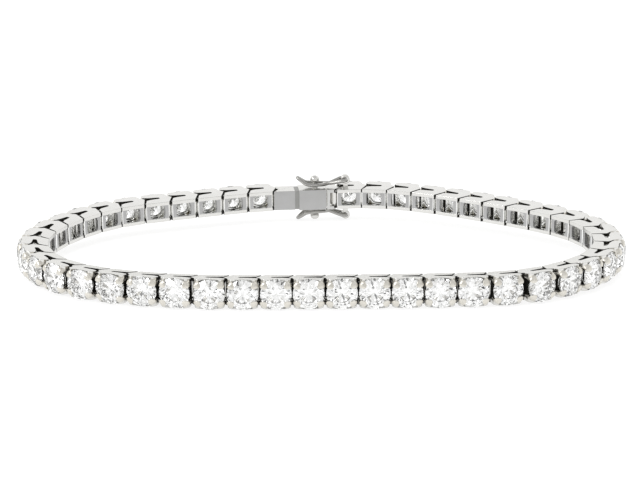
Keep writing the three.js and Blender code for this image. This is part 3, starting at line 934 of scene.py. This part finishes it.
def metal_material(name, colour, shadow_colour, roughness, scratch_bump):
    """White gold, polished or a darker or lighter copy that paints shade or light: slight clouds in colour
    and gloss, and fine polishing marks.
    """
    material, tree, shader = node_material(name)
    link = tree.links.new
    where = tint_in_clouds(tree, shader, shadow_colour, colour, 420.0, 3.0, 0.55)
    stretch = tree.nodes.new("ShaderNodeMapping")
    stretch.inputs["Scale"].default_value = MARK_SCALE
    link(where, stretch.inputs["Vector"])
    marks = add_node(tree, "ShaderNodeTexNoise", Scale=1.0, Detail=4.0, Roughness=0.6)
    link(stretch.outputs["Vector"], marks.inputs["Vector"])
    gloss = tree.nodes.new("ShaderNodeMapRange")
    gloss.inputs["To Min"].default_value = roughness[0]
    gloss.inputs["To Max"].default_value = roughness[1]
    link(marks.outputs["Fac"], gloss.inputs["Value"])
    link(gloss.outputs["Result"], shader.inputs["Roughness"])
    bump = add_node(tree, "ShaderNodeBump", Strength=scratch_bump, Distance=MARK_DEPTH)
    link(marks.outputs["Fac"], bump.inputs["Height"])
    link(bump.outputs["Normal"], shader.inputs["Normal"])
    shader.inputs["Metallic"].default_value = 1.0
    return material


def stone_material():
    """Clear stone with a high index, and faint clouds in its body colour."""
    material, tree, shader = node_material("diamond")
    tint_in_clouds(tree, shader, (0.985, 0.99, 1.0), (1.0, 1.0, 0.99), 900.0, 2.0, 0.5)
    shader.inputs["Transmission Weight"].default_value = 1.0
    shader.inputs["IOR"].default_value = STONE_INDEX
    shader.inputs["Roughness"].default_value = 0.0
    return material


def floor_material():
    """A white table that glows by itself, so that it stays pale and nearly without shadow."""
    material, tree, shader = node_material("floor_white")
    tint_in_clouds(tree, shader, (0.24, 0.24, 0.24), (0.26, 0.26, 0.255), 6.0, 2.0, 0.5)
    shader.inputs["Roughness"].default_value = 0.7
    shader.inputs["Specular IOR Level"].default_value = 0.1
    shader.inputs["Emission Color"].default_value = (1, 1, 1, 1)
    shader.inputs["Emission Strength"].default_value = FLOOR_GLOW
    return material


# Pieces


def weigh_normals(mesh, crease):
    """Smooths edges up to the crease angle by face area, so that large flat faces stay flat."""
    around = [[] for _ in mesh.vertices]
    for face in mesh.polygons:
        for vertex in face.vertices:
            around[vertex].append((face.normal.copy(), face.area))
    limit = math.cos(math.radians(crease))
    normals = []
    for face in mesh.polygons:
        for vertex in face.vertices:
            total = Vector((0, 0, 0))
            for normal, area in around[vertex]:
                if normal.dot(face.normal) > limit:
                    total += normal * area
            normals.append(total.normalized())
    mesh.normals_split_custom_set(normals)


def mesh_of(name, parts, crease):
    """One mesh from parts of (shape, material); crease is the angle above which an edge stays sharp."""
    points, faces = merged(*[shape for shape, _ in parts])
    mesh = bpy.data.meshes.new(name)
    mesh.from_pydata([tuple(Vector(p) * MM) for p in points], [], faces)
    first = 0
    for index, (shape, material) in enumerate(parts):
        mesh.materials.append(material)
        for face in range(first, first + len(shape[1])):
            mesh.polygons[face].material_index = index
        first += len(shape[1])
    if crease is None:
        mesh.shade_flat()
    else:
        mesh.shade_smooth()
        weigh_normals(mesh, crease)
    mesh.update()
    return mesh


def setting_mesh(name, parts, gold):
    """A setting with near-black painted shade on the walls of its cuts and joints, and near-white painted
    light on faces under the stone and at the frame's ends.
    """
    mesh = mesh_of(name, parts, CREASE)
    materials = [material for _, material in parts]
    uses = ("polished", "painted_light", "satin_painted_shade", "crevice_painted_shade")
    polished, painted_light, satin_painted_shade, crevice_painted_shade = (materials.index(gold[use]) for use in uses)
    for face in mesh.polygons:
        x, y, z = face.center / MM
        depth = half_width_at(y) - abs(z)
        in_plate_wall = abs(face.normal.z) < HALF_TURN and 0 < depth < PLATE_THICKNESS
        faces_inwards = face.normal.z * z < -FULL_TURN * abs(z)
        # painted shade: the plate walls in the saw cuts and joints take the near-black copy of the gold
        if in_plate_wall and (in_saw_cut(x, y) or in_joint(y, face.normal)):
            face.material_index = crevice_painted_shade
        # painted light: plate walls facing the stone and the frame's side towards the stone take the
        # near-white copy of the gold
        elif face.material_index == polished and depth > PLATE_THICKNESS / 2 and faces_inwards:
            face.material_index = painted_light
        elif face.material_index == satin_painted_shade and face.normal.y > HALF_TURN:
            face.material_index = painted_light
        # painted light: the frame's ends next to the neighbouring links take the near-white copy of the gold
        elif face.material_index == satin_painted_shade and abs(face.normal.x) > END_TURN and at_frame_end(x):
            face.material_index = painted_light
    return mesh


def piece(name, mesh, matrix, body, slot, *nodes):
    """An object that rides a body and hides the solids that it stands for; slot is not used."""
    obj = bpy.data.objects.new(name, mesh)
    bpy.context.scene.collection.objects.link(obj)
    obj.matrix_world = matrix
    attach(obj, body)
    if nodes:
        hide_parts(*nodes)


def add_links(frames, gold, diamond, rng):
    """The settings, from a few variants, and the stones, each turned and leaning a little its own way."""
    variants = [
        setting_mesh(f"setting_mesh_{k}", setting_parts(rng, gold), gold) for k in range(SETTING_VARIANTS)
    ]
    with_lugs = setting_parts(rng, gold, catch_lug(1), catch_lug(-1))
    last = setting_mesh("setting_mesh_last", with_lugs, gold)
    turns = [2 * math.pi / FACETS * k / STONE_TURNS for k in range(STONE_TURNS)]
    stones = [
        mesh_of(f"brilliant_{k}", [(brilliant(turn), diamond)], None) for k, turn in enumerate(turns)
    ]
    for i, matrix in enumerate(frames):
        number = f"{i + 1:02d}"
        mesh = last if i == LINK_COUNT - 1 else variants[rng.randrange(len(variants))]
        piece(f"setting_{number}", mesh, matrix, "bracelet", "white_gold", f"link_{number}")
        lean = [math.radians(rng.uniform(-STONE_LEAN, STONE_LEAN)) for _ in range(2)]
        wobble = Matrix.Rotation(lean[0], 4, "X") @ Matrix.Rotation(lean[1], 4, "Z")
        piece(f"diamond_{number}", rng.choice(stones), matrix @ wobble, "bracelet", "diamond")


def clasp_mesh(name, parts, wrist_painted_shade):
    """A clasp part whose flat wrist side takes a darker, rougher copy of the gold that paints shade."""
    mesh = mesh_of(name, parts, CREASE)
    mesh.materials.append(wrist_painted_shade)
    for face in mesh.polygons:
        at_wrist = face.normal.y < -FULL_TURN and face.center.y / MM < inner_face + WRIST_DEPTH
        if face.material_index == 0 and at_wrist:
            face.material_index = len(parts)
    return mesh


def add_clasp(clasp_frame, gold):
    """The box, the tongue and the two catches."""
    box_metal, band = clasp_box_shape()
    # painted shade: the sunk band between box and end piece is a dark copy of the gold
    box_parts = [(box_metal, gold["polished"]), (band, gold["band"])]
    # painted shade: the box's wrist side is a darker, rougher copy of the gold
    box = clasp_mesh("clasp_box_mesh", box_parts, gold["satin_painted_shade"])
    piece("clasp_box_dressed", box, clasp_frame, "bracelet", "white_gold", "clasp_box")
    # painted shade: the tongue's wrist side is a darker, rougher copy of the gold, lighter than the box's
    tongue = clasp_mesh("clasp_tongue_mesh", [(tongue_shape(), gold["polished"])], gold["pale"])
    piece("clasp_tongue_dressed", tongue, clasp_frame, "bracelet", "white_gold", "clasp_tongue")
    catch = mesh_of("catch_mesh", [(catch_shape(), gold["wire"])], CREASE)
    offset = (half_width_at(0) + CATCH_HEIGHT) * MM
    back = -CATCH_HINGE_BACK * MM
    lower = clasp_frame @ Matrix.Translation((back, 0, offset))
    upper = clasp_frame @ Matrix.Translation((back, 0, -offset)) @ Matrix.Rotation(math.pi, 4, "X")
    piece("catch_lower_dressed", catch, lower, "lower_catch", "catch_gold", "safety_catch_lower")
    piece("catch_upper_dressed", catch, upper, "upper_catch", "catch_gold", "safety_catch_upper")


# Stage


def add_floor():
    mesh = bpy.data.meshes.new("floor")
    corners = [(x * FLOOR_HALF, y * FLOOR_HALF, 0) for x, y in ((-1, -1), (1, -1), (1, 1), (-1, 1))]
    mesh.from_pydata(corners, [], [[0, 1, 2, 3]])
    mesh.materials.append(floor_material())
    floor = bpy.data.objects.new("floor", mesh)
    bpy.context.scene.collection.objects.link(floor)


def add_light(name, place, width, height, watts, in_reflections):
    """A square light that shines on the middle of the bracelet."""
    data = bpy.data.lights.new(name, "AREA")
    data.shape = "RECTANGLE"
    data.size = width
    data.size_y = height
    data.energy = watts
    light = bpy.data.objects.new(name, data)
    light.location = place
    light.rotation_euler = (-Vector(place)).to_track_quat("-Z", "Y").to_euler()
    light.visible_glossy = in_reflections
    bpy.context.scene.collection.objects.link(light)


def world_dot(tree, where, direction):
    """How near a direction of the world is to a given one, as a dot product."""
    toward = tree.nodes.new("ShaderNodeVectorMath")
    toward.operation = "DOT_PRODUCT"
    tree.links.new(where, toward.inputs[0])
    toward.inputs[1].default_value = Vector(direction).normalized()
    return toward.outputs["Value"]


def map_range(tree, value, range_in, range_out):
    ramp = tree.nodes.new("ShaderNodeMapRange")
    ramp.interpolation_type = "SMOOTHSTEP"
    names = ("From Min", "From Max", "To Min", "To Max")
    for name, number in zip(names, (*range_in, *range_out)):
        ramp.inputs[name].default_value = number
    tree.links.new(value, ramp.inputs["Value"])
    return ramp.outputs["Result"]


def multiplied(tree, first, second):
    product = tree.nodes.new("ShaderNodeMath")
    product.operation = "MULTIPLY"
    tree.links.new(first, product.inputs[0])
    tree.links.new(second, product.inputs[1])
    return product.outputs["Value"]


def scaled(tree, colour, share):
    product = tree.nodes.new("ShaderNodeVectorMath")
    product.operation = "SCALE"
    tree.links.new(colour, product.inputs[0])
    tree.links.new(share, product.inputs["Scale"])
    return product.outputs["Vector"]


def add_world():
    """A white tent of light, with dark cards high behind the camera that the facets pick up."""
    world = bpy.data.worlds.new("studio")
    bpy.context.scene.world = world
    world.use_nodes = True
    tree = world.node_tree
    where = tree.nodes.new("ShaderNodeTexCoord").outputs["Generated"]
    split = tree.nodes.new("ShaderNodeSeparateXYZ")
    tree.links.new(where, split.inputs["Vector"])
    ramp = tree.nodes.new("ShaderNodeValToRGB")
    stops = ramp.color_ramp.elements
    stops[0].position = WORLD_RAMP[0][0]
    stops[1].position = WORLD_RAMP[1][0]
    for position, _ in WORLD_RAMP[2:]:
        stops.new(position)
    for stop, (_, colour) in zip(stops, WORLD_RAMP):
        stop.color = (*colour, 1)
    tree.links.new(split.outputs["Z"], ramp.inputs["Fac"])
    cards = add_node(tree, "ShaderNodeTexNoise", Scale=CARD_SCALE, Detail=1.0, Roughness=0.5)
    tree.links.new(where, cards.inputs["Vector"])
    card = map_range(tree, cards.outputs["Fac"], CARD_EDGE, (0.0, 1.0))
    for direction, range_in, range_out in CARD_MASKS:
        mask = map_range(tree, world_dot(tree, where, direction), range_in, range_out)
        card = multiplied(tree, card, mask)
    colour = scaled(tree, ramp.outputs["Color"], map_range(tree, card, (0.0, 1.0), (1.0, 0.0)))
    for direction, range_in, shade in WORLD_PATCHES:
        patch = map_range(tree, world_dot(tree, where, direction), range_in, (1.0, shade))
        colour = scaled(tree, colour, patch)
    background = tree.nodes["Background"]
    tree.links.new(colour, background.inputs["Color"])
    background.inputs["Strength"].default_value = WORLD_STRENGTH


def add_camera():
    data = bpy.data.cameras.new("camera")
    data.sensor_width = 36.0
    data.lens = CAMERA_LENS
    data.clip_start = 0.005
    data.clip_end = 10.0
    camera = bpy.data.objects.new("camera", data)
    camera.location = CAMERA_PLACE
    pitch, yaw, roll = (math.radians(angle) for angle in CAMERA_TURN)
    tilt = Matrix.Rotation(math.pi / 2 - pitch, 3, "X")
    turn = Matrix.Rotation(-yaw, 3, "Z") @ tilt @ Matrix.Rotation(roll, 3, "Z")
    camera.rotation_euler = turn.to_euler()
    bpy.context.scene.collection.objects.link(camera)
    bpy.context.scene.camera = camera


def let_light_through():
    """Light turns many times inside a cut stone before it leaves, and each turn counts as a bounce."""
    paths = bpy.context.scene.cycles
    paths.max_bounces = 24
    paths.glossy_bounces = 16
    paths.transmission_bounces = 24


def build():
    bpy.context.scene.view_settings.view_transform = "Standard"
    let_light_through()
    rng = random.Random(SEED)
    gold = {use: metal_material(*finish) for use, finish in FINISHES_AND_PAINTED_LIGHT.items()}
    frames, clasp_frame = strip_frames()
    add_links(frames, gold, stone_material(), rng)
    add_clasp(clasp_frame, gold)
    add_floor()
    add_world()
    for light in LIGHTS:
        add_light(*light)
    add_camera()


build()
bpy.context.view_layer.update()
